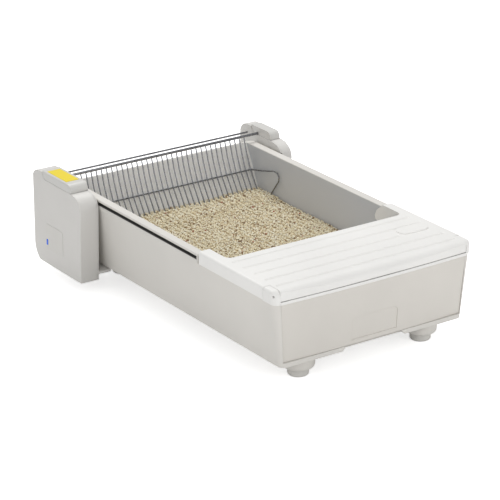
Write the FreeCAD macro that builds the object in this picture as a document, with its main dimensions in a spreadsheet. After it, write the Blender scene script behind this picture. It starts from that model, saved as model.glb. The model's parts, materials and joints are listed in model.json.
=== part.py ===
import FreeCAD, Part
import math
import os
import Sketcher

# Self-cleaning litter box: a tray on four feet, a hinged front lid over a waste drawer,
# and a gantry on toothed rails that carries a wire rake through the litter.
# Frame: X to the right seen from the front, Y from the front to the rear, Z up, floor at zero.
# Every sub-part is drawn with x = 0 in the middle of the tray and y = 0 at the drawer front, and is then
# moved so that the origin lies in the middle of the whole box with its towers.

SIZES = {
    "rim_half": 204.0, "rim_z": 169.0, "floor_z": 50.0, "rear_y": 650.0, "wall_gap": 3.0,
    "front_round": 12.0, "floor_skin": 2.6, "gear_module": 1.5, "liner": 0.8, "panel_bow": 4.5,
    "panel_lean": 5.0, "panel_depth": 3.5, "fit_gap": 0.4, "bin_wall": 2.2, "ramp_radius": 147.0,
    "travel": 270.0, "pin_dia": 4.0, "lid_skin": 3.0, "nose": 13.0, "foot_dia": 36.4,
    "foot_high": 14.0, "rod_dia": 5.0, "wire_dia": 2.4, "tine_step": 10.8, "tine_count": 34,
    "tie_dia": 3.5, "left_wide": 38.0, "right_wide": 24.0, "left_deep": 164.0, "right_deep": 136.0,
    "cap_high": 14.9, "skin": 2.4, "litter_deep": 37.0,
}

doc = FreeCAD.newDocument("LitterBox")
sheet = doc.addObject("Spreadsheet::Sheet", "Sizes")
for row, (alias, value) in enumerate(SIZES.items(), start=1):
    sheet.set("A%d" % row, alias)
    sheet.set("B%d" % row, "%g" % value)
    sheet.setAlias("B%d" % row, alias)
doc.recompute()


# A size that knows both its number and the sheet formula it comes from.
class Size:
    def __init__(self, value, text):
        self.value = float(value)
        self.text = text

    def joined(self, other, sign, value, swap=False):
        a, b = (other, self) if swap else (self, other)
        return Size(value, "(%s %s %s)" % (words(a), sign, words(b)))

    def __add__(self, other):
        return self.joined(other, "+", self.value + num(other))

    def __radd__(self, other):
        return self.joined(other, "+", num(other) + self.value, True)

    def __sub__(self, other):
        return self.joined(other, "-", self.value - num(other))

    def __rsub__(self, other):
        return self.joined(other, "-", num(other) - self.value, True)

    def __mul__(self, other):
        return self.joined(other, "*", self.value * num(other))

    def __rmul__(self, other):
        return self.joined(other, "*", num(other) * self.value, True)

    def __truediv__(self, other):
        return self.joined(other, "/", self.value / num(other))

    def __neg__(self):
        return Size(-self.value, "(0 - %s)" % self.text)


def num(size):
    return size.value if isinstance(size, Size) else float(size)


def words(size):
    return size.text if isinstance(size, Size) else "%.6f" % size


class Sheet:
    def __getattr__(self, alias):
        return Size(SIZES[alias], "Sizes." + alias)


g = Sheet()
# Sizes that follow from the driving ones.
g.bottom_z = g.floor_z - 12.7
g.ledge_z = g.rim_z - 17
g.slot_low = g.rim_z - 10.8
g.slot_high = g.rim_z - 4
g.lid_top = g.rim_z + 6
g.crest_z = g.rim_z - 29
g.rod_z = g.rim_z + 14.5
g.pin_y = g.nose - 8
g.pin_z = g.lid_top - 9.5
g.arm_rear = g.rear_y - g.travel - g.ramp_radius - 12
g.deck_rear = g.arm_rear - 58
g.bin_rear = g.arm_rear - 35
g.tower_low = g.foot_high + 5
g.wall_half = g.rim_half - 1.5
g.base_half = g.wall_half - 14.1
g.basin_half = g.rim_half - 16.4
g.slot_inner = g.rim_half - 11
g.rack_line = g.rim_half - 8
g.block_inner = g.rim_half - 12.4
g.panel_half_top = g.rim_half - 14
g.panel_half_low = g.panel_half_top - 6.5
g.panel_low = g.bottom_z + 8.2
g.panel_top = g.ledge_z - 2.4
g.notch_half = g.rim_half - 147
g.bin_half = g.panel_half_low - 15.5
g.bin_top = g.crest_z - 18
g.arm_inner = g.rim_half - 22
g.foot_x = g.base_half - 60.4
g.foot_front = g.foot_dia + 1.3
g.foot_rear = g.rear_y - 65
g.cup_dia = g.foot_dia + 19.6
g.rod_y = g.rear_y - 10.5
g.tie_y = g.rod_y + 32.5
g.tie_z = g.rod_z - 6.5
g.tower_in = g.rim_half + 4
g.left_out = g.tower_in + g.left_wide
g.right_out = g.tower_in + g.right_wide
g.tower_rear = g.tie_y + 23
g.left_front = g.tower_rear - g.left_deep
g.right_front = g.tower_rear - g.right_deep
g.seam_z = g.rod_z - 2.7
g.cap_top = g.seam_z + g.cap_high
g.left_cap_front = g.rod_y - 77.5
g.right_cap_front = g.rod_y - 41.5
g.pinion_y = g.rod_y - 57.5
g.litter_z = g.floor_z + g.litter_deep
g.loop_x = g.basin_half - 4.7
g.slot_front = g.arm_rear + 3
g.slot_rear = g.rear_y - 9
# The middle of the whole, so that the origin lies there.
g.centre_x = (g.right_out - g.left_out - 1.1) / 2
g.centre_y = (g.tower_rear + 0.6 - 1.8 - g.panel_bow) / 2
V = FreeCAD.Vector
subparts = []


def bind(thing, prop, size):
    thing.setExpression(prop, words(size))


# A named sub-part: a body, placed so that the tray's centre is the origin.
def part(name):
    body = doc.addObject("PartDesign::Body", name)
    body.Label = name
    body.Placement = FreeCAD.Placement(V(-num(g.centre_x), -num(g.centre_y), 0), FreeCAD.Rotation())
    bind(body, "Placement.Base.x", -g.centre_x)
    bind(body, "Placement.Base.y", -g.centre_y)
    subparts.append(body)
    return body


# A sketch on one of the body's own planes, lifted along the plane's normal.
def sketch(body, plane, lift=0, tilt=0):
    drawn = body.newObject("Sketcher::SketchObject", body.Name + "_sketch")
    role = {"x": "YZ_Plane", "y": "XZ_Plane", "z": "XY_Plane"}[plane]
    base = [o for o in body.Origin.OriginFeatures if o.Role == role][0]
    drawn.AttachmentSupport = (base, [""])
    drawn.MapMode = "FlatFace"
    up = -lift if plane == "y" else lift
    drawn.AttachmentOffset = FreeCAD.Placement(V(0, 0, num(up)), FreeCAD.Rotation(V(1, 0, 0), tilt))
    bind(drawn, "AttachmentOffset.Base.z", up)
    return drawn


# A closed outline: corner points as pairs, or triples with a point that an arc to the next passes.
def outline(drawn, points):
    count = len(points)
    first = drawn.GeometryCount
    ends = []
    for k in range(count):
        a = points[k]
        b = points[(k + 1) % count]
        start = V(num(a[0]), num(a[1]), 0)
        end = V(num(b[0]), num(b[1]), 0)
        if len(a) == 3:
            mid = V(num(a[2][0]), num(a[2][1]), 0)
            ahead = (mid - start).cross(end - start).z > 0
            drawn.addGeometry(Part.Arc(start, mid, end) if ahead else Part.Arc(end, mid, start))
            ends.append((1, 2) if ahead else (2, 1))
        else:
            drawn.addGeometry(Part.LineSegment(start, end))
            ends.append((1, 2))
    for k in range(count):
        n = (k + 1) % count
        drawn.addConstraint(Sketcher.Constraint("Coincident", first + k, ends[k][1], first + n, ends[n][0]))
    for k in range(count):
        for axis, kind in ((0, "DistanceX"), (1, "DistanceY")):
            size = points[k][axis]
            i = drawn.addConstraint(Sketcher.Constraint(kind, -1, 1, first + k, ends[k][0], num(size)))
            if isinstance(size, Size):
                bind(drawn, "Constraints[%d]" % i, size)
    for k in range(count):
        if len(points[k]) == 3:
            mid = points[k][2]
            p = drawn.addGeometry(Part.Point(V(num(mid[0]), num(mid[1]), 0)), True)
            for axis, kind in ((0, "DistanceX"), (1, "DistanceY")):
                i = drawn.addConstraint(Sketcher.Constraint(kind, -1, 1, p, 1, num(mid[axis])))
                if isinstance(mid[axis], Size):
                    bind(drawn, "Constraints[%d]" % i, mid[axis])
            drawn.addConstraint(Sketcher.Constraint("PointOnObject", p, 1, first + k))


def ring(drawn, x, y, dia):
    k = drawn.addGeometry(Part.Circle(V(num(x), num(y), 0), V(0, 0, 1), num(dia) / 2))
    for kind, size in (("DistanceX", x), ("DistanceY", y)):
        i = drawn.addConstraint(Sketcher.Constraint(kind, -1, 1, k, 3, num(size)))
        if isinstance(size, Size):
            bind(drawn, "Constraints[%d]" % i, size)
    i = drawn.addConstraint(Sketcher.Constraint("Diameter", k, num(dia)))
    if isinstance(dia, Size):
        bind(drawn, "Constraints[%d]" % i, dia)


def extrude(body, drawn, low, high, cut, taper=0):
    kind = "PartDesign::Pocket" if cut else "PartDesign::Pad"
    made = body.newObject(kind, body.Name + ("_cut" if cut else "_pad"))
    made.Profile = drawn
    made.Length = num(high - low)
    bind(made, "Length", high - low)
    made.Reversed = bool(cut)
    if taper:
        made.TaperAngle = taper
    made.Refine = False
    drawn.Visibility = False
    return made


# Material added or removed between two heights along one axis.
def prism(body, plane, points, low, high, cut=False, taper=0, tilt=0):
    low = low if isinstance(low, Size) else Size(low, "%.6f" % low)
    drawn = sketch(body, plane, high if plane == "y" else low, tilt)
    outline(drawn, points)
    return extrude(body, drawn, low, high, cut, taper)


def discs(body, plane, centres, dia, low, high, cut=False, inner=None):
    low = low if isinstance(low, Size) else Size(low, "%.6f" % low)
    drawn = sketch(body, plane, high if plane == "y" else low)
    for x, y in centres:
        ring(drawn, x, y, dia)
        if inner is not None:
            ring(drawn, x, y, inner)
    return extrude(body, drawn, low, high, cut)


def box(body, x0, x1, y0, y1, z0, z1, cut=False, taper=0):
    points = [(x0, y0), (x1, y0), (x1, y1), (x0, y1)]
    return prism(body, "z", points, z0, z1, cut, taper)


# Round or bevel the edges that pass a test on their middle point and direction.
def soften(body, test, radius, kind="Fillet"):
    doc.recompute()
    tip = body.Tip
    names = []
    for i, edge in enumerate(tip.Shape.Edges):
        if edge.Length < 1e-3:
            continue
        a, b = edge.ParameterRange
        p = edge.valueAt((a + b) / 2)
        t = edge.tangentAt((a + b) / 2)
        if test(p, t, edge):
            names.append("Edge%d" % (i + 1))
    if not names:
        raise ValueError("no edge to soften in " + body.Name)
    made = body.newObject("PartDesign::" + kind, body.Name + "_" + kind.lower())
    made.Base = (tip, names)
    prop = "Radius" if kind == "Fillet" else "Size"
    setattr(made, prop, num(radius))
    if isinstance(radius, Size):
        bind(made, prop, radius)
    made.Refine = False
    doc.recompute()
    if "Invalid" in made.State or made.Shape.isNull() or not made.Shape.isValid():
        raise ValueError("softening failed in " + body.Name)
    return made


def mirrored(body, features):
    doc.recompute()
    body.Tip = features[-1]
    made = body.newObject("PartDesign::Mirrored", body.Name + "_mirror")
    made.Originals = features
    made.MirrorPlane = ([o for o in body.Origin.OriginFeatures if o.Role == "YZ_Plane"][0], [""])
    made.Refine = False
    body.Tip = made
    return made


def row(body, features, axis, step, count, back=False):
    doc.recompute()
    body.Tip = features[-1]
    made = body.newObject("PartDesign::LinearPattern", body.Name + "_row")
    made.Originals = features
    made.Direction = ([o for o in body.Origin.OriginFeatures if o.Role == axis + "_Axis"][0], [""])
    made.Length = num(step) * (num(count) - 1)
    bind(made, "Length", step * (count - 1))
    made.Occurrences = int(num(count))
    if isinstance(count, Size):
        bind(made, "Occurrences", count)
    made.Reversed = back
    made.Refine = False
    body.Tip = made
    return made


def span(side, near, far):
    return (near, far) if side > 0 else (-far, -near)


# A round wire along a path of corner points in a plane at one x.
def wire(body, x, path, dia):
    drawn = sketch(body, "x", x)
    for k in range(len(path) - 1):
        a, b = path[k], path[k + 1]
        drawn.addGeometry(Part.LineSegment(V(num(a[0]), num(a[1]), 0), V(num(b[0]), num(b[1]), 0)))
    for k in range(len(path) - 2):
        drawn.addConstraint(Sketcher.Constraint("Coincident", k, 2, k + 1, 1))
    for k in range(len(path)):
        geo, end = (k, 1) if k < len(path) - 1 else (k - 1, 2)
        for axis, kind in ((0, "DistanceX"), (1, "DistanceY")):
            i = drawn.addConstraint(Sketcher.Constraint(kind, -1, 1, geo, end, num(path[k][axis])))
            if isinstance(path[k][axis], Size):
                bind(drawn, "Constraints[%d]" % i, path[k][axis])
    doc.recompute()
    section = body.newObject("Sketcher::SketchObject", body.Name + "_section")
    section.AttachmentSupport = (drawn, ["Edge1"])
    section.MapMode = "NormalToEdge"
    section.MapPathParameter = 0
    k = section.addGeometry(Part.Circle(V(0, 0, 0), V(0, 0, 1), num(dia) / 2))
    section.addConstraint(Sketcher.Constraint("Coincident", k, 3, -1, 1))
    i = section.addConstraint(Sketcher.Constraint("Diameter", k, num(dia)))
    if isinstance(dia, Size):
        bind(section, "Constraints[%d]" % i, dia)
    made = body.newObject("PartDesign::AdditivePipe", body.Name + "_wire")
    made.Profile = section
    made.Spine = (drawn, [])
    made.Transition = "Right corner"
    made.Refine = False
    drawn.Visibility = False
    section.Visibility = False
    return made


# Base shell: walls, rails, basin with ramp, drawer bay, front band and hinge blocks.
rod_front = g.rod_y - g.travel
mid_y = g.rear_y / 2
base = part("base_shell")
bay_top = g.panel_top - 2.8
prism(base, "y", [(-g.base_half, g.bottom_z), (g.base_half, g.bottom_z), (g.wall_half, g.ledge_z),
                  (-g.wall_half, g.ledge_z)], Size(0, "0"), g.rear_y)
soften(base, lambda p, t, e: abs(t.z) > 0.9 and abs(p.x) > num(g.base_half) - 9, g.front_round)
rail_front = g.arm_rear + g.fit_gap
box(base, -g.rim_half, g.rim_half, rail_front, g.rear_y, g.ledge_z, g.rim_z)
soften(base, lambda p, t, e: abs(t.z) > 0.99 and p.y > num(rail_front) + 9 and p.z > num(g.ledge_z) + 1, 10)
soften(base, lambda p, t, e: p.y > num(rail_front) + 1 and p.z > num(g.rim_z) - 0.1, 2.2)
box(base, -g.wall_half + 4, g.wall_half - 4, 24, g.arm_rear - 3.2, g.ledge_z, g.rim_z - 3)
slope = math.sqrt(max(num(g.ramp_radius) ** 2 - (num(g.rod_z) - num(g.floor_z)) ** 2, 1))
ramp_foot = rod_front - slope
bow_z = num(g.rod_z) - num(g.ramp_radius) * math.sin(math.radians(40))
bow_y = num(rod_front) - num(g.ramp_radius) * math.cos(math.radians(40))
crest_run = math.sqrt(num(g.ramp_radius) ** 2 - (num(g.rod_z) - num(g.crest_z)) ** 2)
crest = rod_front - crest_run
prism(base, "x", [(g.rear_y - 3.5, g.rim_z + 1), (g.rear_y - 4, g.rim_z), (g.rear_y - 42, g.rim_z - 77),
                  (g.rear_y - 62, g.floor_z), (ramp_foot, g.floor_z, (bow_y, bow_z)),
                  (crest, g.crest_z), (crest - 5, g.crest_z), (crest - 30, g.crest_z - 10),
                  (crest - 30, g.rim_z + 1)], -g.basin_half, g.basin_half, cut=True)
soften(base, lambda p, t, e: p.y > num(g.rear_y) - 60 and p.z > num(g.floor_z) + 1 and abs(p.x) > num(g.basin_half) - 0.1
       and abs(p.x) < num(g.basin_half) + 0.1 and abs(t.z) > 0.8 and p.z < num(g.rim_z) - 2, 5)
soften(base, lambda p, t, e: abs(t.y) > 0.99 and abs(abs(p.x) - num(g.basin_half)) < 0.1 and p.z > num(g.rim_z) - 0.1, 2.2)
# Drawer bay and the space under the lid.
bay_rear = g.bin_rear + 3
box(base, -g.bin_half - 4, g.bin_half + 4, 4.2, bay_rear, g.panel_low - 0.5, bay_top, cut=True)
box(base, -g.basin_half, g.basin_half, 20, crest - 29.9, g.bin_top + 3, g.rim_z + 1, cut=True)
prism(base, "y", [(-g.panel_half_low - g.fit_gap, g.panel_low - g.fit_gap),
                  (g.panel_half_low + g.fit_gap, g.panel_low - g.fit_gap),
                  (g.panel_half_top + g.fit_gap, g.panel_top + 0.5),
                  (-g.panel_half_top - g.fit_gap, g.panel_top + 0.5)], Size(-1, "(0 - 1)"), Size(9, "9"), cut=True)
doc.recompute()
# Front band: a thin bowed lip with its cross bar, then the two hinge blocks at the corners.
lip_top = g.ledge_z + 3.1
band = [(-6.6, g.panel_top + 0.5), (4.1, g.panel_top + 0.5), (4.1, bay_top), (20, bay_top), (20, g.panel_top + 1.5),
        (4, g.panel_top + 1.5), (-1, g.panel_top + 3), (-1, lip_top), (-6.2, lip_top)]
prism(base, "x", band, -g.block_inner - 1, g.block_inner + 1)
wide = g.block_inner + 1.2
prism(base, "z", [(-wide, -2.25), (-wide, -12), (wide, -12), (wide, -2.25, (0, -2.25 - g.panel_bow))],
      g.panel_top - 3.8, g.pin_z, cut=True, tilt=-6)
prism(base, "z", [(-wide, -0.2), (-wide, 3), (wide, 3), (wide, -0.2, (0, -0.2 - g.panel_bow))],
      g.panel_top + 3.2, g.pin_z, cut=True)
swing = 27
block_rear = g.pin_y + swing
block_top = g.lid_top - 0.4
block = [(-1.4, g.ledge_z), (g.pin_y + math.sqrt(swing ** 2 - 13.5 ** 2), g.ledge_z, (block_rear, g.pin_z)),
         (g.pin_y + math.sqrt(swing ** 2 - 9.1 ** 2), block_top),
         (g.pin_y + 6, block_top, (g.pin_y - 2.6, block_top - 3.8)), (-1.4, g.pin_z - 3)]
for side in (1, -1):
    low, high = (g.block_inner, g.rim_half) if side > 0 else (-g.rim_half, -g.block_inner)
    prism(base, "x", block, low, high)
    inner = side * (g.rim_half - 13)
    outer = side * g.rim_half
    far = side * (g.rim_half + 3)
    prism(base, "z", [(inner, -1.4, (inner + side * 9.19, -1.4 + 3.81)), (outer, 11.6), (far, 11.6), (far, -6),
                      (inner, -6)], g.ledge_z - 0.5, g.lid_top + 1, cut=True)
soften(base, lambda p, t, e: abs(t.y) > 0.99 and abs(abs(p.x) - num(g.rim_half)) < 0.1 and p.y < num(block_rear)
       and p.z > num(g.ledge_z) + 5, 5)
for side in (1, -1):
    low, high = (g.slot_inner, g.rim_half + 1) if side > 0 else (-g.rim_half - 1, -g.slot_inner)
    box(base, low, high, g.slot_front, g.slot_rear, g.slot_low, g.slot_high, cut=True)
    low, high = (g.block_inner - 5, g.rim_half + 1) if side > 0 else (-g.rim_half - 1, -g.block_inner + 5)
    discs(base, "x", [(g.pin_y, g.pin_z)], g.pin_dia + 0.04, low, high, cut=True)
# Underside: a shallow hollow behind the skirt, closed by the bottom cover; finger notch at the front.
hollow = g.base_half - g.wall_gap
box(base, -hollow, hollow, 14, g.rear_y - 14, g.bottom_z - 1, g.floor_z - g.floor_skin, cut=True)
prism(base, "y", [(-g.notch_half - 9, g.bottom_z - 1), (g.notch_half + 9, g.bottom_z - 1),
                  (g.notch_half, g.panel_low - 0.6), (-g.notch_half, g.panel_low - 0.6)],
      Size(-1, "(0 - 1)"), Size(11, "11"), cut=True)
doc.recompute()

# Racks: a channel that lines each rail slot, with straight teeth on its inner wall.
pitch = g.gear_module * math.pi
behind = int(num(g.travel) / num(pitch)) + 5
rack_first = g.pinion_y - pitch * (behind + 0.5)
teeth = behind + 5
gap = 0.02
slot_end = g.slot_rear - gap
for side, name in ((-1, "rack_left"), (1, "rack_right")):
    rack = part(name)
    inner = side * (g.slot_inner + gap)
    outer = side * (g.rim_half - 0.6)
    root = side * (g.rack_line - 1.25 * g.gear_module)
    tip = side * (g.rack_line + 0.9 * g.gear_module)
    low, high = g.slot_low + gap, g.slot_high - gap
    points = [(inner, low), (outer, low), (outer, low + g.liner), (root, low + g.liner), (root, high - g.liner),
              (outer, high - g.liner), (outer, high), (inner, high)]
    prism(rack, "y", points, g.slot_front + gap, slot_end)
    half = num(g.gear_module)
    root_in = root - side * 0.1
    tooth = prism(rack, "z", [(root_in, rack_first - half * 1.3), (tip, rack_first - half * 0.2),
                              (tip, rack_first + half * 0.2), (root_in, rack_first + half * 1.3)],
                  low + g.liner - 0.1, high - g.liner + 0.1)
    row(rack, [tooth], "Y", pitch, Size(teeth, "%d" % teeth))

# Drawer: a bowed front that leans back to its foot, and an open waste bin behind it.
front = part("drawer_front")

high = g.panel_top - g.panel_low
prism(front, "y", [(-g.panel_half_low, g.panel_low), (g.panel_half_low, g.panel_low),
                   (g.panel_half_top, g.panel_top), (-g.panel_half_top, g.panel_top)],
      Size(-8, "(0 - 8)"), Size(12, "12"))
wide = g.panel_half_top + 6
# The face leans back to its foot, so both cuts run upwards along that lean.
lean = "atan((%s) / (%s))" % (words(g.panel_lean), words(high))
lean_angle = math.degrees(math.atan(num(g.panel_lean) / num(high)))
for far, face, bow in ((-20, g.panel_lean, g.panel_bow), (30, g.panel_lean + g.panel_depth, 0)):
    last = (wide, face, (0, face - bow)) if bow else (wide, face)
    points = [(-wide, face), (-wide, far), (wide, far), last]
    cut = prism(front, "z", points, g.panel_low - 2, g.panel_top + 4, cut=True, tilt=lean_angle)
    cut.Profile[0].setExpression("AttachmentOffset.Rotation.Angle", lean)
doc.recompute()
# A shallow recessed grip outline that leans with the face.
grip_low = g.panel_low + 8
grip_floor = g.panel_lean * g.panel_top / high - g.panel_bow + 1.4
cut = prism(front, "y", [(-47, grip_low), (47, grip_low), (47, grip_low + 35), (41, grip_low + 41),
                         (-41, grip_low + 41), (-47, grip_low + 35)],
            grip_floor - 9, grip_floor, cut=True, tilt=lean_angle)
cut.Profile[0].setExpression("AttachmentOffset.Rotation.Angle", lean)

waste = part("waste_bin")
bin_front = g.panel_lean + g.panel_depth + 0.4
box(waste, -g.bin_half, g.bin_half, bin_front, g.bin_rear, g.floor_z, g.bin_top)
soften(waste, lambda p, t, e: abs(t.z) > 0.99, 8)
box(waste, -g.bin_half - 2.5, g.bin_half + 2.5, bin_front, g.bin_rear, g.bin_top - 2, g.bin_top)
box(waste, -g.bin_half + g.bin_wall, g.bin_half - g.bin_wall, bin_front + g.bin_wall, g.bin_rear - g.bin_wall,
    g.floor_z + g.bin_wall, g.bin_top + 1, cut=True)

# Lid: a deck with five shallow grooves, a rolled front edge on two pins, and two arms over the side walls.
lid = part("lid_shell")
lid_in = g.block_inner - 0.35
edge_z = lip_top + 0.6
nose_y = g.nose - 4
nose_z = g.lid_top - g.nose
slant = 0.7071
hollow_nose = g.nose - 6
nose = [(nose_y, g.lid_top, (nose_y - g.nose * slant, nose_z + g.nose * slant)), (nose_y - g.nose, nose_z),
        (nose_y - g.nose, edge_z), (nose_y - hollow_nose, edge_z),
        (nose_y - hollow_nose, nose_z, (nose_y - hollow_nose * slant, nose_z + hollow_nose * slant)),
        (nose_y, nose_z + hollow_nose)]
skirt_front = block_rear - 9
deck_low = g.lid_top - g.lid_skin
prism(lid, "x", [(nose_y - 0.1, deck_low - 0.5), (nose_y - 0.1, g.lid_top), (g.deck_rear, g.lid_top),
                 (g.deck_rear, deck_low), (nose_y + 9, deck_low)], -lid_in, lid_in)
prism(lid, "x", nose, -lid_in, lid_in)
cheek = [(skirt_front, deck_low - 12), (skirt_front, g.lid_top - 0.02), (g.arm_rear - 3, g.lid_top - 0.02),
         (g.arm_rear + 14, g.rim_z - 8), (g.arm_rear + 19, g.crest_z + 10), (g.arm_rear + 17, g.crest_z + 3.6),
         (g.arm_rear + 11, g.crest_z + 1.3), (g.arm_rear - 10, g.crest_z + 1.3), (skirt_front + 30, g.crest_z + 8)]
for side in (1, -1):
    low, high = span(side, g.arm_inner, g.rim_half)
    box(lid, low, high, skirt_front, g.arm_rear, g.ledge_z + 0.5, g.lid_top)
soften(lid, lambda p, t, e: abs(abs(p.x) - num(g.rim_half)) < 0.1 and abs(t.z) > 0.9 and p.y > num(g.arm_rear) - 1, 5)
soften(lid, lambda p, t, e: p.z > num(g.lid_top) - 0.1 and (abs(abs(p.x) - num(g.rim_half)) < 6)
       and p.y > num(skirt_front) + 1, 4.5)
for side in (1, -1):
    low, high = span(side, g.arm_inner - 1, g.rim_half - 2.6)
    box(lid, low, high, skirt_front - 1, g.arm_rear - 2.6, g.ledge_z - 1, g.lid_top - 5, cut=True)
    low, high = span(side, g.arm_inner - 1, g.rim_half - 6)
    box(lid, low, high, skirt_front - 1, g.arm_rear - 7, g.ledge_z - 1, g.lid_top - g.lid_skin, cut=True)
    low, high = span(side, g.arm_inner, g.arm_inner + 2.6)
    prism(lid, "x", cheek, low, high)
    low, high = span(side, lid_in, g.rim_half + 1)
    discs(lid, "x", [(g.pin_y, g.pin_z)], swing * 2 + g.fit_gap * 2, low, high, cut=True)
    inner = side * g.arm_inner
    prism(lid, "z", [(inner + side * 2, g.deck_rear - 2), (inner + side * 2, g.deck_rear + 12),
                     (inner + side * 0.2, g.deck_rear + 12, (inner - side * 3.6, g.deck_rear + 3.6)),
                     (inner - side * 12, g.deck_rear - 0.2), (inner - side * 12, g.deck_rear - 2)],
          deck_low + 0.3, g.lid_top)
    low, high = span(side, g.block_inner - 14, g.block_inner - 0.6)
    prism(lid, "x", [(g.pin_y - 4.5, g.pin_z - 4.5), (g.pin_y + 4.5, g.pin_z - 4.5), (g.pin_y + 4.5, g.lid_top - 1),
                     (g.pin_y - 4.5, g.pin_z + 2)], low, high)
    discs(lid, "x", [(g.pin_y, g.pin_z)], g.pin_dia + 2.6, low - 1, high + 1, cut=True)
wide = g.block_inner + 4
bow_cut = [(-wide, 0), (-wide, -12), (wide, -12), (wide, 0, (0, -g.panel_bow))]
prism(lid, "z", bow_cut, edge_z - 1, g.lid_top - 4, cut=True)
# Five shallow valleys with rounded ends; the middle one stops short of the badge.
valley_step = (g.deck_rear - 38.6) / 4
valley_end = g.block_inner - 10
valley = 1.5
deep = 1.8
for k in range(5):
    y = 21 + valley_step * k
    right = 111 if k == 2 else valley_end
    prism(lid, "z", [(-valley_end, y + valley, (-valley_end - valley, y)), (-valley_end, y - valley),
                     (right, y - valley, (right + valley, y)), (right, y + valley)],
          g.lid_top - deep, g.lid_top + 0.02, cut=True, taper=52)

badge = part("lid_badge")
box(badge, g.block_inner - 70.6, g.block_inner - 9, g.deck_rear - 81, g.deck_rear - 51, g.lid_top + 0.02, g.lid_top + 2)
soften(badge, lambda p, t, e: abs(t.z) > 0.99, 14.5)
soften(badge, lambda p, t, e: p.z > num(g.lid_top) + 1.9, 0.9)

pins = part("lid_hinge_pins")
for side in (1, -1):
    low, high = (g.block_inner - 12, g.rim_half - 6) if side > 0 else (-g.rim_half + 6, -g.block_inner + 12)
    discs(pins, "x", [(g.pin_y, g.pin_z)], g.pin_dia, low, high)
sleeves = part("lid_hinge_sleeves")
for side in (1, -1):
    low, high = (g.block_inner - 13, g.block_inner - 0.6) if side > 0 else (-g.block_inner + 0.6, -g.block_inner + 13)
    discs(sleeves, "x", [(g.pin_y, g.pin_z)], g.pin_dia + 2.56, low, high, inner=g.pin_dia + 0.1)

# Underside: cover plate with its screws, four foot cups, pads and load cells, and the weighing board.
cover = part("bottom_cover")
inset = g.base_half - g.wall_gap - 0.4
box(cover, -inset, inset, 14.5, g.rear_y - 14.5, g.bottom_z, g.bottom_z + 2.4)
foot_spots = [(sx * g.foot_x, y) for y in (g.foot_front, g.foot_rear) for sx in (-1, 1)]
cups = part("foot_housings")
discs(cups, "z", foot_spots, g.cup_dia, g.foot_high, g.bottom_z - 0.01)
soften(cups, lambda p, t, e: abs(t.z) < 0.01 and p.z < num(g.foot_high) + 1, 7)
discs(cups, "z", foot_spots, g.cup_dia - 12, g.bottom_z - 9, g.bottom_z + 1, cut=True)
pads = part("foot_pads")
discs(pads, "z", foot_spots, g.foot_dia, Size(0, "0"), g.foot_high - 0.02)
soften(pads, lambda p, t, e: abs(t.z) < 0.01 and p.z < 1, 4)
cells = part("load_cells")
for x, y in foot_spots:
    box(cells, x - 17, x + 17, y - 6, y + 6, g.bottom_z - 8.9, g.bottom_z - 0.1)
board = part("weigh_board")
box(board, Size(-30, "(0 - 30)"), Size(30, "30"), mid_y - 20, mid_y + 20, g.bottom_z + 2.42, g.bottom_z + 6)
cover_screws = part("bottom_cover_screws")
spots = [(sx * (inset - 7), y) for y in (60, mid_y, g.rear_y - 60) for sx in (-1, 1)]
discs(cover_screws, "z", spots, Size(7, "7"), g.bottom_z - 1.6, g.bottom_z - 0.02)

# Litter: a bed combed into grooves where the wires stand.
litter = part("litter_bed")
litter_rear = g.rear_y - 62
tine_first = -g.tine_step * (g.tine_count - 1) / 2
prism(litter, "x", [(g.rear_y - 42.6, g.litter_z + 5), (g.rod_y - 80, g.litter_z + 5), (g.rod_y - 120, g.litter_z),
                    (ramp_foot + 12, g.litter_z - 2), (ramp_foot - 12, g.litter_z - 20),
                    (ramp_foot + 1, g.floor_z + 0.02), (litter_rear - 0.4, g.floor_z + 0.02)],
      2 - g.loop_x, g.loop_x - 2)
comb = g.wire_dia + 1.1
channel = box(litter, tine_first - comb / 2, tine_first + comb / 2, ramp_foot - 20, litter_rear + 30,
              g.floor_z + 4.5, g.litter_z + 8, cut=True)
row(litter, [channel], "X", g.tine_step, g.tine_count)
doc.recompute()


# Towers of the gantry: an outer cover, an inner frame plate and a top cap on each side.
def tower_outline(front_y, grow, low):
    seam = g.seam_z - grow
    back = g.tower_rear - grow
    tall = g.seam_z - 27
    return [(front_y + grow + 8 - 4, low + grow), (front_y + grow, tall, (front_y + grow + 5.5, seam - 11)),
            (front_y + grow + 18, seam - 2.5),
            (front_y + grow + 32, seam), (g.rod_y + 12, seam), (g.rod_y + 17.5, seam + 4),
            (g.rod_y + 21.5, seam + 12), (g.tie_y + 3, seam + 12, (g.tie_y + 17 - grow * 0.7, seam + 6)),
            (back, seam - 5), (back, low + 32, (g.tower_rear - 5.5 - grow * 0.7, low + 12 + grow * 0.7)),
            (g.tower_rear - 18, low + grow)]


def cap_outline(front_y, grow):
    low = g.seam_z + 0.4
    top = g.cap_top - grow
    return [(front_y + grow, low), (front_y + grow, top - 12, (front_y + grow + 3.515, top - 3.515)),
            (front_y + grow + 12, top),
            (g.rod_y + 21 - grow, top), (g.rod_y + 17 - grow, low + 4), (g.rod_y + 11.5 - grow, low)]


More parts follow.
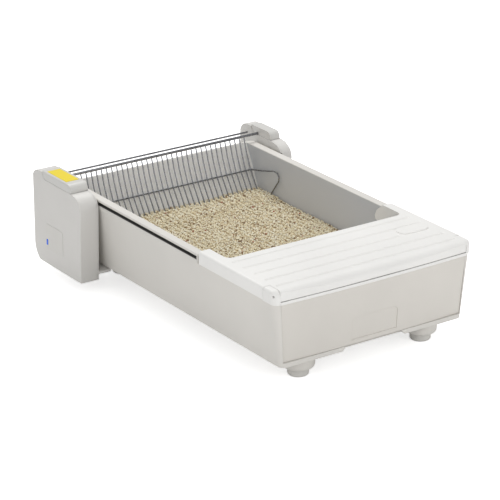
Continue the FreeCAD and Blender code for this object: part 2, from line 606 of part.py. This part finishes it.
def gear(name, x, y, z, axis, count, module, low, high, turn=0, arc=360, shaft=None):
    body = part(name)
    spot = V(num(x) - num(g.centre_x), num(y) - num(g.centre_y), num(z))
    body.Placement = FreeCAD.Placement(spot, FreeCAD.Rotation())
    bind(body, "Placement.Base.x", x - g.centre_x)
    bind(body, "Placement.Base.y", y - g.centre_y)
    bind(body, "Placement.Base.z", z if isinstance(z, Size) else Size(z, "(%.6f)" % z))
    radius = module * count / 2
    root = radius - module * 1.25
    tip = radius + module * 0.9
    if arc == 360:
        discs(body, axis, [(0, 0)], root * 2 + 0.2, low, high)
    else:
        a0, a1 = math.radians(turn - 4), math.radians(turn + arc + 4)
        am = (a0 + a1) / 2
        r0 = num(root) + 0.1
        prism(body, axis, [(0, 0), (r0 * math.cos(a0), r0 * math.sin(a0), (r0 * math.cos(am), r0 * math.sin(am))),
                           (r0 * math.cos(a1), r0 * math.sin(a1))], low, high)
        discs(body, axis, [(0, 0)], 14, low, high)
    low_w, top_w = num(module) * 0.98, num(module) * 0.32
    c, s = math.cos(math.radians(turn)), math.sin(math.radians(turn))
    r1, r2 = num(root) - 0.1, num(tip)
    tooth = prism(body, axis, [(r1 * c + low_w * s, r1 * s - low_w * c), (r2 * c + top_w * s, r2 * s - top_w * c),
                               (r2 * c - top_w * s, r2 * s + top_w * c), (r1 * c - low_w * s, r1 * s + low_w * c)],
                  low, high)
    doc.recompute()
    body.Tip = tooth
    polar = body.newObject("PartDesign::PolarPattern", name + "_teeth")
    polar.Originals = [tooth]
    role = "Z_Axis" if axis == "z" else "X_Axis"
    polar.Axis = ([o for o in body.Origin.OriginFeatures if o.Role == role][0], [""])
    steps = count if arc == 360 else int(round(arc * count / 360)) + 1
    polar.Angle = 360 if arc == 360 else 360 / count * (steps - 1)
    polar.Occurrences = int(steps)
    polar.Refine = False
    body.Tip = polar
    if shaft:
        discs(body, axis, [(0, 0)], shaft[0], shaft[1], shaft[2])
    return body


shelf_low, shelf_high = g.slot_low - 5.5, g.slot_high + 1.4
pin_x = g.rack_line + g.gear_module * 10
sides = ((-1, "left", g.left_front, g.left_out, g.left_cap_front, g.tower_in + 20, 14.7394),
         (1, "right", g.right_front, g.right_out, g.right_cap_front, g.tower_in + 12, 20.6216))
for side, name, face, out, cap_face, motor_x, motor_dy in sides:
    shell = part(name + "_tower_cover")
    low, high = span(side, g.tower_in + 3, out)
    prism(shell, "x", tower_outline(face, 0, g.tower_low), low, high)
    soften(shell, lambda p, t, e: abs(abs(p.x) - num(out)) < 0.05 and p.z < 150 and e.Length > 60, 2)
    low, high = span(side, g.tower_in + 2, out - g.skin)
    prism(shell, "x", tower_outline(face, g.skin, g.tower_low), low, high, cut=True)
    low, high = span(side, g.tower_in + 6, out - 5)
    box(shell, low, high, cap_face + 6, g.rod_y + 8, g.seam_z - 5, g.seam_z + 2, cut=True)

    if side < 0:
        left_shell = shell

    frame = part(name + "_tower_frame")
    low, high = span(side, g.tower_in, g.tower_in + 2.8)
    prism(frame, "x", tower_outline(face, 0, g.tower_low), low, high)
    low, high = span(side, g.tower_in + 1.7, g.tower_in + 4)
    prism(frame, "x", cap_outline(cap_face, 0), low, high)
    low, high = span(side, g.tower_in - 1, g.tower_in + 3)
    box(frame, low, high, g.pinion_y - 21, g.pinion_y + 21, shelf_low + 4, shelf_high, cut=True)
    low, high = span(side, g.tower_in + 2.7, out - g.skin - 0.6)
    box(frame, low, high, g.pinion_y - 13, g.pinion_y + 32, shelf_low, shelf_low + 3.6)
    box(frame, low, high, g.pinion_y - 13, g.pinion_y + 32, shelf_high, shelf_high + 3)
    centres = [(side * pin_x, g.pinion_y), (side * motor_x, g.pinion_y + motor_dy)]
    discs(frame, "z", centres, 5.1, shelf_low - 1, shelf_high + 5, cut=True)
    low, high = span(side, g.base_half - 4, g.tower_in + 1)
    box(frame, low, high, face + 1, g.tower_rear - 30, g.bottom_z - 6.8, g.bottom_z - 2.2)
    low, high = span(side, g.tower_in - 1, g.tower_in + 6)
    discs(frame, "x", [(g.rod_y, g.rod_z)], g.rod_dia + 0.1, low, high, cut=True)
    discs(frame, "x", [(g.tie_y, g.tie_z)], g.tie_dia + 0.02, low, high, cut=True)

    cap = part(name + "_cap")
    low, high = span(side, g.tower_in + 4.04, out)
    prism(cap, "x", cap_outline(cap_face, 0), low, high)
    soften(cap, lambda p, t, e: abs(abs(p.x) - num(out)) < 0.05 and p.z > num(g.seam_z) + 0.6 and p.y < num(g.rod_y), 2.5)
    low, high = span(side, g.tower_in + 3, out - g.skin)
    prism(cap, "x", cap_outline(cap_face, g.skin), low, high, cut=True)
    low, high = span(side, g.tower_in + 4, out - g.skin)
    box(cap, low, high, cap_face + 4, g.rod_y + 8, g.seam_z, g.seam_z + 5, cut=True)

    turn = math.degrees(math.atan2(motor_dy, side * (num(motor_x) - num(pin_x))))
    near = 18 * round(turn / 18)
    motor_turn = turn + 180 - 2 * (near - turn) + 18
    pinion = gear(name + "_pinion", side * pin_x, g.pinion_y, 0, "z", 20, g.gear_module, g.slot_low + 1.3,
                  g.slot_high - 1.3, shaft=(5, shelf_low + 0.3, shelf_high + 2.6))
    drive = gear(name + "_drive_gear", side * motor_x, g.pinion_y + motor_dy, 0, "z", 10, g.gear_module,
                 g.slot_low + 1.3, g.slot_high - 1.3, turn=motor_turn, shaft=(5, shelf_low + 0.3, shelf_high + 2.6))
    motor = part(name + "_drive_motor")
    discs(motor, "z", [(side * motor_x, g.pinion_y + motor_dy)], 16.6, shelf_low - 42, shelf_low - 0.02)
    shoes = part(name + "_glide_shoes")
    low, high = span(side, g.rack_line + 2, g.tower_in - 0.02)
    for y in (g.pinion_y - 37 if side < 0 else g.pinion_y + 19, g.rod_y - 16):
        y1 = y + 14
        box(shoes, low, high, y, y1, g.slot_low + 1.2, g.slot_high - 1.2)
doc.recompute()

# Rods across the tray.
tie = part("tie_rod")
reach = g.tower_in + 10
discs(tie, "x", [(g.tie_y, g.tie_z)], g.tie_dia, -reach, reach)
rod = part("rake_rod")
discs(rod, "x", [(g.rod_y, g.rod_z)], g.rod_dia, -reach - 2, reach + 2)

# Rake: one tine repeated along the rod, a cross wire behind the tines, and a loop at each side.
tines = part("rake_tines")
wire_end = g.rod_z - g.rod_dia / 2 - 0.4
tine = wire(tines, tine_first, [(g.rod_y - 0.2, wire_end), (g.rod_y - 8.5, g.rod_z - 29.5), (g.rod_y - 21.5, g.rod_z - 59.5),
                                (g.rod_y - 44.5, g.rod_z - 94.5), (g.rod_y - 64.5, g.rod_z - 126.5)], g.wire_dia)
row(tines, [tine], "X", g.tine_step, g.tine_count)
cross = part("rake_cross_wire")
cross_y, cross_z = g.rod_y - 18.6, g.rod_z - 61.2
discs(cross, "x", [(cross_y, cross_z)], 2.6, -g.loop_x - 1.2, g.loop_x + 1.2)
loops = part("rake_side_loops")
for side in (-1, 1):
    path = [(cross_y - 1.6, cross_z), (g.rod_y - 53.5, g.rod_z - 54), (g.rod_y - 92, g.rod_z - 43.5),
            (g.rod_y - 102, g.rod_z - 44.5), (g.rod_y - 107.5, g.rod_z - 51), (g.rod_y - 106, g.rod_z - 60),
            (g.rod_y - 80, g.rod_z - 94), (g.rod_y - 60.5, g.rod_z - 122)]
    wire(loops, side * g.loop_x, path, g.wire_dia)
sector = gear("rake_sector_gear", Size(0, "0"), g.rod_y, g.rod_z, "x", 48, Size(1, "1"), -g.tower_in - 11, -g.tower_in - 6,
              turn=-90, arc=52.5)
discs(sector, "x", [(0, 0)], g.rod_dia + 0.02, -g.tower_in - 12, -g.tower_in - 5, cut=True)
spinner = gear("rake_pinion", Size(0, "0"), g.rod_y, g.rod_z - 30, "x", 12, Size(1, "1"), -g.tower_in - 11, -g.tower_in - 6,
               turn=105, shaft=(3, -g.tower_in - 17, -g.tower_in - 5))
rake_motor = part("rake_motor")
discs(rake_motor, "x", [(g.rod_y, g.rod_z - 30)], 22, -g.left_out + 4, -g.tower_in - 12)
discs(rake_motor, "x", [(g.rod_y, g.rod_z - 30)], 3.1, -g.tower_in - 18, -g.tower_in - 11, cut=True)

# Controls on the left tower, its circuit board, and the power inlet on its rear face.
overlay = part("control_overlay")
box(overlay, -g.left_out - 0.5, -g.left_out - 0.02, g.rod_y - 46, g.rod_y + 14, Size(50, "50"), Size(98, "98"))
soften(overlay, lambda p, t, e: abs(t.x) > 0.99, 5)
light = part("status_light")
box(light, -g.left_out - 1.1, -g.left_out - 0.52, g.rod_y + 5.6, g.rod_y + 10.2, Size(57.5, "57.5"), Size(69, "69"))
soften(light, lambda p, t, e: abs(t.x) > 0.99, 1.8)
circuit = part("control_board")
box(circuit, -g.left_out + 5, -g.left_out + 6.6, g.rod_y - 80, g.rod_y + 25, Size(45, "45"), Size(105, "105"))
cap_patch = part("cap_patch")
box(cap_patch, -g.left_out + 5, -g.tower_in - 7, g.left_cap_front + 22, g.rod_y + 10.5, g.cap_top + 0.02, g.cap_top + 0.5)
inlet = part("power_inlet")
inlet_at = [(-g.tower_in - 19, Size(62, "62"))]
discs(inlet, "y", inlet_at, 11, g.tower_rear - 12, g.tower_rear + 0.6)
discs(inlet, "y", inlet_at, 6.4, g.tower_rear - 9, g.tower_rear + 2, cut=True)
discs(left_shell, "y", inlet_at, 11.06, g.tower_rear - 8, g.tower_rear + 2, cut=True)

doc.recompute()
faults = []
for thing in doc.Objects:
    if any(word in thing.State for word in ("Invalid", "Error")):
        faults.append(thing.Name + " " + " ".join(thing.State))
os.makedirs("parts", exist_ok=True)
for body in subparts:
    shape = body.Shape
    if shape.isNull() or not shape.isValid() or not shape.Solids:
        faults.append(body.Label + " has no valid shape")
        continue
    shape.exportStep("parts/%s.step" % body.Label)
    print(body.Label, len(shape.Solids), "%.0f" % shape.Volume, shape.BoundBox)
if faults:
    raise ValueError("; ".join(faults))
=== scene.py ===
import json
import math
import random

import bpy
import bmesh
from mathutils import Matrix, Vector, noise


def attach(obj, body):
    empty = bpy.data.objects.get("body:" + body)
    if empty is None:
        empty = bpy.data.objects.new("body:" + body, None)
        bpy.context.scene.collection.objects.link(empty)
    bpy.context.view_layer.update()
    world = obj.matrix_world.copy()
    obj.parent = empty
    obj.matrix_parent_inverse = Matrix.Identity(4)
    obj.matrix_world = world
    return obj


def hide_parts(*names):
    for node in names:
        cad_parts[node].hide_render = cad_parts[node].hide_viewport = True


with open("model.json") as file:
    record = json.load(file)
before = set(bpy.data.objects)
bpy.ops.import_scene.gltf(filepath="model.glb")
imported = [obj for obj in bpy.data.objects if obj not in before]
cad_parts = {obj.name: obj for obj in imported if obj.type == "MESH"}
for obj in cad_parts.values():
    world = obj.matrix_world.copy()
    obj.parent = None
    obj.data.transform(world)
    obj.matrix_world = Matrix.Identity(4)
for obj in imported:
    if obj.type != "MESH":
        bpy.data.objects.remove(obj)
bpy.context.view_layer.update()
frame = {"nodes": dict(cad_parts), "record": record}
NODES = frame["nodes"]

# Metres. The object is measured from the middle of the tray and the drawer's front, on the floor.
# CENTRE is the frame's origin in those measures.
CENTRE = Vector((-0.00755, 0.34465, 0.0))
BASIN_INSIDE = 0.1868
BASIN_OUTSIDE = 0.1886


# Helpers for node materials
def srgb(r, g, b):
    def one(c):
        c = c / 255
        return c / 12.92 if c <= 0.04045 else ((c + 0.055) / 1.055) ** 2.4
    return (one(r), one(g), one(b), 1.0)


def grey(value):
    return (value, value, value, 1)


def shade(colour, factor):
    return tuple(c * factor for c in colour[:3]) + (1,)


def material(name):
    mat = bpy.data.materials.new(name)
    mat.use_nodes = True
    nodes = mat.node_tree.nodes
    nodes.clear()
    out = nodes.new("ShaderNodeOutputMaterial")
    shader = nodes.new("ShaderNodeBsdfPrincipled")
    mat.node_tree.links.new(shader.outputs[0], out.inputs[0])
    return mat, nodes, mat.node_tree.links, shader


def noise_node(nodes, links, scale, detail=3.0, rough=0.5, stretch=(1, 1, 1)):
    place = nodes.new("ShaderNodeTexCoord")
    sized = nodes.new("ShaderNodeMapping")
    sized.inputs["Scale"].default_value = stretch
    links.new(place.outputs["Object"], sized.inputs["Vector"])
    tex = nodes.new("ShaderNodeTexNoise")
    tex.inputs["Scale"].default_value = scale
    tex.inputs["Detail"].default_value = detail
    tex.inputs["Roughness"].default_value = rough
    links.new(sized.outputs[0], tex.inputs["Vector"])
    return tex.outputs["Fac"]


def ramp(nodes, links, source, stops):
    made = nodes.new("ShaderNodeValToRGB")
    cells = made.color_ramp.elements
    for cell, (at, colour) in zip(cells, stops):
        cell.position = at
        cell.color = colour
    links.new(source, made.inputs[0])
    return made.outputs[0]


def grain_bump(nodes, links, strength, scale):
    bump = nodes.new("ShaderNodeBump")
    bump.inputs["Strength"].default_value = strength
    bump.inputs["Distance"].default_value = 0.0004
    links.new(noise_node(nodes, links, scale, 2), bump.inputs["Height"])
    return bump


def maths(nodes, links, kind, first, second):
    made = nodes.new("ShaderNodeMath")
    made.operation = kind
    for socket, value in zip(made.inputs, (first, second)):
        if isinstance(value, (int, float)):
            socket.default_value = value
        else:
            links.new(value, socket)
    return made.outputs[0]


# The distance from the tray's middle, the way along it and the height of a point.
def measures(nodes, links):
    place = nodes.new("ShaderNodeTexCoord")
    parts = nodes.new("ShaderNodeSeparateXYZ")
    links.new(place.outputs["Object"], parts.inputs[0])
    sideways = maths(nodes, links, "ADD", parts.outputs[0], CENTRE.x)
    return maths(nodes, links, "ABSOLUTE", sideways, 0), parts.outputs[1], parts.outputs[2]


# One where every measure lies between its low and its high value, nought elsewhere.
def inside_of(nodes, links, spans):
    made = 1.0
    for source, low, high in spans:
        made = maths(nodes, links, "MULTIPLY", made, maths(nodes, links, "GREATER_THAN", source, low))
        made = maths(nodes, links, "MULTIPLY", made, maths(nodes, links, "LESS_THAN", source, high))
    return made


# The side walls inside the tray, given a greyer colour: partly a greyer plastic of their own, partly
# painted shade from the depth of the tray.
def tray_wall_shade_mask(nodes, links):
    across, along, height = measures(nodes, links)
    return inside_of(nodes, links, [(across, BASIN_INSIDE, BASIN_OUTSIDE),
                                    (along, 0.185 - CENTRE.y, 0.6472 - CENTRE.y),
                                    (height, 0.0495, 0.1675)])


# Painted light: the hinge blocks, the lip between them and the sloping rear wall of the tray get a paler
# colour where the lamps leave them in shade.
def painted_light_mask(nodes, links):
    across, along, height = measures(nodes, links)
    front = inside_of(nodes, links, [(along, -1.0, 0.034 - CENTRE.y), (height, 0.1499, 1.0)])
    slope = inside_of(nodes, links, [(across, -1.0, BASIN_INSIDE),
                                     (along, 0.58 - CENTRE.y, 0.6462 - CENTRE.y)])
    return maths(nodes, links, "MAXIMUM", slope, front)


def blend(nodes, links, factor, first, second):
    made = nodes.new("ShaderNodeMix")
    made.data_type = "RGBA"
    links.new(factor, made.inputs[0])
    links.new(first, made.inputs[6])
    made.inputs[7].default_value = second
    return made.outputs[2]


# Moulded plastic: slow tone drift, fine mould grain, roughness that varies a little; where asked, painted
# shade on the tray's inner side walls and painted light on the hinge blocks, lip and rear slope.
def plastic(name, colour, rough, grain=0.05, grain_scale=900, coat=0.0, edge=0.0, tray_wall_grey_and_shade=None, painted_light_colour=None):
    mat, nodes, links, shader = material(name)
    drift = 0.03
    tone = noise_node(nodes, links, 6)
    look = ramp(nodes, links, tone, [(0.3, shade(colour, 1 - drift)), (0.7, shade(colour, 1 + drift))])
    # Painted shade, partly a greyer plastic: the tray's inner side walls take a darker grey.
    if tray_wall_grey_and_shade:
        look = blend(nodes, links, tray_wall_shade_mask(nodes, links), look, tray_wall_grey_and_shade)
    # Painted light: a paler colour on the hinge blocks, the lip and the rear slope.
    if painted_light_colour:
        look = blend(nodes, links, painted_light_mask(nodes, links), look, painted_light_colour)
    links.new(look, shader.inputs["Base Color"])
    streak = noise_node(nodes, links, 38, 4, 0.6)
    links.new(ramp(nodes, links, streak, [(0.25, grey(rough - 0.05)), (0.75, grey(rough + 0.06))]),
              shader.inputs["Roughness"])
    bump = grain_bump(nodes, links, grain, grain_scale)
    if edge:
        soft = nodes.new("ShaderNodeBevel")
        soft.samples = 4
        soft.inputs["Radius"].default_value = edge
        links.new(soft.outputs[0], bump.inputs["Normal"])
    links.new(bump.outputs[0], shader.inputs["Normal"])
    if coat:
        shader.inputs["Coat Weight"].default_value = coat
        shader.inputs["Coat Roughness"].default_value = 0.15
    return mat


def metal(name, colour, rough, scale=160, stretch=(1, 1, 1)):
    mat, nodes, links, shader = material(name)
    shader.inputs["Metallic"].default_value = 1.0
    tone = noise_node(nodes, links, scale, stretch=stretch)
    links.new(ramp(nodes, links, tone, [(0.3, shade(colour, 0.86)), (0.7, colour)]),
              shader.inputs["Base Color"])
    links.new(ramp(nodes, links, tone, [(0.3, grey(rough - 0.05)), (0.7, grey(rough + 0.07))]),
              shader.inputs["Roughness"])
    return mat


SLOTS = {
    # Shell: the tray's inner side walls get a grey that is partly painted shade.
    "shell": plastic("shell_plastic", srgb(224, 221, 215), 0.45, edge=0.0007, tray_wall_grey_and_shade=srgb(200, 202, 205),
                     # Painted light: the hinge blocks, lip and rear slope get a paler colour.
                     painted_light_colour=srgb(243, 242, 239)),
    "lid": plastic("lid_plastic", srgb(244, 243, 240), 0.36, coat=0.05, edge=0.0007),
    "tower": plastic("tower_plastic", srgb(220, 218, 214), 0.46, edge=0.0014),
    "cap": plastic("cap_plastic", srgb(212, 211, 207), 0.34, coat=0.05, edge=0.0012),
    "chrome": metal("chrome_wire", srgb(140, 141, 145), 0.24),
    "dark_plastic": plastic("dark_plastic", srgb(52, 52, 54), 0.5),
    "gear_plastic": plastic("gear_plastic", srgb(214, 211, 200), 0.5, grain=0.08),
    "rubber_foot": plastic("foot_rubber", srgb(216, 214, 209), 0.65, grain=0.15, grain_scale=500),
    "steel": metal("brushed_steel", srgb(170, 170, 172), 0.32, 400, (1, 12, 1)),
    "board": plastic("board_lacquer", srgb(30, 92, 52), 0.4),
    "light": plastic("light_lens", srgb(58, 110, 235), 0.22),
    "patch": plastic("cap_patch_plastic", srgb(240, 216, 26), 0.35),
}
RACK = plastic("rack_plastic", srgb(96, 95, 93), 0.5)
OWN = {
    "drawer_front": plastic("front_plastic", srgb(222, 218, 211), 0.42, edge=0.0005),
    "control_overlay": plastic("overlay_plastic", srgb(218, 216, 211), 0.38),
    "lid_hinge_pins": metal("pin_steel", srgb(84, 84, 86), 0.4, 300),
    "rack_left": RACK,
    "rack_right": RACK,
    "litter_bed": SLOTS["shell"],
}
for entry in frame["record"]["subparts"]:
    name = entry["node"]
    surfaces = NODES[name].data.materials
    surfaces.clear()
    surfaces.append(OWN[name] if name in OWN else SLOTS[entry["material_slot"]])


# Litter: loose pellets over a sheet of ground, in place of the plain combed solid.
def litter_material(name, low, high):
    mat, nodes, links, shader = material(name)
    tone = noise_node(nodes, links, 700, 3, 0.6)
    links.new(ramp(nodes, links, tone, [(0.3, low), (0.7, high)]), shader.inputs["Base Color"])
    links.new(grain_bump(nodes, links, 0.5, 1500).outputs[0], shader.inputs["Normal"])
    links.new(ramp(nodes, links, tone, [(0.3, grey(0.86)), (0.7, grey(0.96))]), shader.inputs["Roughness"])
    return mat


LITTER = [
    litter_material("litter_ground", srgb(172, 151, 118), srgb(212, 195, 162)),
    litter_material("litter_sand", srgb(238, 227, 196), srgb(250, 244, 220)),
    litter_material("litter_pale", srgb(242, 235, 212), srgb(252, 248, 232)),
    litter_material("litter_tan", srgb(224, 209, 173), srgb(240, 228, 197)),
    litter_material("litter_brown", srgb(140, 112, 84), srgb(172, 144, 110)),
    litter_material("litter_red", srgb(164, 84, 66), srgb(188, 108, 82)),
]
# The share of pellets up to and with each colour, from sand on; the rest are red.
SHARES = (0.46, 0.72, 0.93, 0.995)
LITTER_LEVEL = 0.0866
LITTER_HALF = 0.1866
LITTER_FRONT = -0.052
LITTER_REAR = 0.6075 - CENTRE.y
WIRE_STEP = 0.0108
FIRST_WIRE = 0.0054
PELLET_STEP = 0.00345
PELLET_SIDES = 5


# The level rises a little at the rear, falls to the front and has a furrow under every wire.
def surface_height(x, y):
    slow = noise.noise(Vector((x * 14, y * 14, 2.0))) * 0.0022
    rear = max(0.0, min(1.0, (y - 0.17) / 0.03)) * 0.004
    front = max(0.0, min(1.0, (-0.015 - y) / 0.035)) * 0.018
    comb = -0.0008 * math.cos(math.tau * (x + CENTRE.x - FIRST_WIRE) / WIRE_STEP)
    return LITTER_LEVEL + slow + rear - front + comb


# A short rod with five sides and two pointed ends.
def add_pellet(mesh, place, turn, tip, length, width, index):
    along = Vector((math.cos(turn) * math.cos(tip), math.sin(turn) * math.cos(tip), math.sin(tip)))
    side = along.cross(Vector((0, 0, 1))).normalized()
    up = side.cross(along)
    rings = []
    for offset in (-0.24, 0.26):
        line = []
        for k in range(PELLET_SIDES):
            a = math.tau * k / PELLET_SIDES + offset
            out = (side * math.cos(a) + up * math.sin(a)) * (width * 0.5)
            line.append(mesh.verts.new(place + along * (offset * length) + out))
        rings.append(line)
    first = mesh.verts.new(place - along * (length * 0.5))
    last = mesh.verts.new(place + along * (length * 0.5))
    for k in range(PELLET_SIDES):
        n = (k + 1) % PELLET_SIDES
        corners = ((rings[0][k], rings[0][n], rings[1][n], rings[1][k]),
                   (first, rings[0][n], rings[0][k]), (last, rings[1][k], rings[1][n]))
        for loop in corners:
            face = mesh.faces.new(loop)
            face.material_index = index
            face.smooth = True


def add_ground(mesh, x0, x1, y0, y1):
    columns, rows = 60, 52
    grid = []
    for j in range(rows + 1):
        line = []
        for i in range(columns + 1):
            x = x0 + (x1 - x0) * i / columns
            y = y0 + (y1 - y0) * j / rows
            line.append(mesh.verts.new((x, y, surface_height(x, y) - 0.0012)))
        grid.append(line)
    for near, far in zip(grid, grid[1:]):
        for i in range(columns):
            mesh.faces.new((near[i], near[i + 1], far[i + 1], far[i])).smooth = True


def litter_bed():
    mesh = bmesh.new()
    x0, x1 = -CENTRE.x - LITTER_HALF, -CENTRE.x + LITTER_HALF
    add_ground(mesh, x0, x1, LITTER_FRONT, LITTER_REAR)
    dice = random.Random(41)
    y = LITTER_FRONT + 0.004
    while y < LITTER_REAR - 0.001:
        x = x0 + 0.004
        while x < x1 - 0.003:
            px = x + dice.uniform(-0.5, 0.5) * PELLET_STEP
            py = y + dice.uniform(-0.5, 0.5) * PELLET_STEP
            length = dice.uniform(0.0031, 0.0057)
            width = dice.uniform(0.0021, 0.0029)
            place = Vector((px, py, surface_height(px, py) + dice.uniform(-0.0007, 0.0007)))
            pick = dice.random()
            index = 1 + sum(pick >= share for share in SHARES)
            add_pellet(mesh, place, dice.uniform(0, math.tau), dice.gauss(0, 0.28), length, width, index)
            x += PELLET_STEP
        y += PELLET_STEP
    mesh.normal_update()
    data = bpy.data.meshes.new("litter_grain_bed")
    mesh.to_mesh(data)
    mesh.free()
    made = bpy.data.objects.new("litter_grain_bed", data)
    bpy.context.scene.collection.objects.link(made)
    for mat in LITTER:
        data.materials.append(mat)
    return made


bed = litter_bed()
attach(bed, "base")
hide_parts("litter_bed")


# Floor: it takes shadows, and the camera sees it paler than it lights the object.
def studio_floor(half):
    mesh = bpy.data.meshes.new("studio_floor")
    corners = [(-half, -half, 0), (half, -half, 0), (half, half, 0), (-half, half, 0)]
    mesh.from_pydata(corners, [], [(0, 1, 2, 3)])
    made = bpy.data.objects.new("studio_floor", mesh)
    bpy.context.scene.collection.objects.link(made)
    mat, nodes, links, shader = material("studio_floor")
    shader.inputs["Roughness"].default_value = 0.9
    tone = noise_node(nodes, links, 3)
    links.new(ramp(nodes, links, tone, [(0.3, srgb(250, 250, 250)), (0.7, srgb(254, 254, 254))]),
              shader.inputs["Base Color"])
    glow = nodes.new("ShaderNodeEmission")
    glow.inputs["Strength"].default_value = 0.6
    paler = nodes.new("ShaderNodeAddShader")
    sight = nodes.new("ShaderNodeLightPath")
    chosen = nodes.new("ShaderNodeMixShader")
    links.new(shader.outputs[0], paler.inputs[0])
    links.new(glow.outputs[0], paler.inputs[1])
    links.new(sight.outputs["Is Camera Ray"], chosen.inputs[0])
    links.new(shader.outputs[0], chosen.inputs[1])
    links.new(paler.outputs[0], chosen.inputs[2])
    out = [n for n in nodes if n.type == "OUTPUT_MATERIAL"][0]
    links.new(chosen.outputs[0], out.inputs[0])
    mesh.materials.append(mat)
    return made


floor = studio_floor(6.0)


# Light: three round area lights and a white surround that the camera sees at full white.
def lamp(name, place, target, width, power):
    data = bpy.data.lights.new(name, "AREA")
    data.shape = "DISK"
    data.size = width
    data.energy = power
    made = bpy.data.objects.new(name, data)
    made.location = place
    made.rotation_euler = (Vector(target) - Vector(place)).to_track_quat("-Z", "Y").to_euler()
    bpy.context.scene.collection.objects.link(made)


def background(tree, strength):
    made = tree.nodes.new("ShaderNodeBackground")
    made.inputs[0].default_value = grey(1)
    made.inputs[1].default_value = strength
    return made.outputs[0]


def studio_world():
    world = bpy.data.worlds.new("studio_world")
    bpy.context.scene.world = world
    world.use_nodes = True
    tree = world.node_tree
    tree.nodes.clear()
    out = tree.nodes.new("ShaderNodeOutputWorld")
    mix = tree.nodes.new("ShaderNodeMixShader")
    rays = tree.nodes.new("ShaderNodeLightPath")
    tree.links.new(rays.outputs["Is Camera Ray"], mix.inputs[0])
    tree.links.new(background(tree, 0.52), mix.inputs[1])
    tree.links.new(background(tree, 1.0), mix.inputs[2])
    tree.links.new(mix.outputs[0], out.inputs[0])


lamp("top_light", (0.3, 1.1, 2.25), (0, 0, 0.1), 1.3, 30)
lamp("front_light", (0.6, -2.5, 1.0), (0, 0, 0.05), 1.6, 11)
lamp("left_light", (-2.2, -1.5, 1.0), (0, 0, 0.05), 1.4, 8)
studio_world()

# Camera: from the front left and above, as solved from the photograph.
FOCAL_PIXELS = 2473.64
PICTURE_PIXELS = 500
SENSOR = 36
LOOK_DOWN = 21.60
LOOK_ROUND = 34.70
camera_data = bpy.data.cameras.new("photo_camera")
camera_data.sensor_width = SENSOR
camera_data.lens = FOCAL_PIXELS * SENSOR / PICTURE_PIXELS
camera_data.clip_end = 50
camera = bpy.data.objects.new("photo_camera", camera_data)
camera.location = Vector((-2.31109, -2.97561, 1.69215)) - CENTRE
camera.rotation_euler = (math.radians(90 - LOOK_DOWN), 0, math.radians(-LOOK_ROUND))
bpy.context.scene.collection.objects.link(camera)
bpy.context.scene.camera = camera
bpy.context.scene.view_settings.view_transform = "Standard"
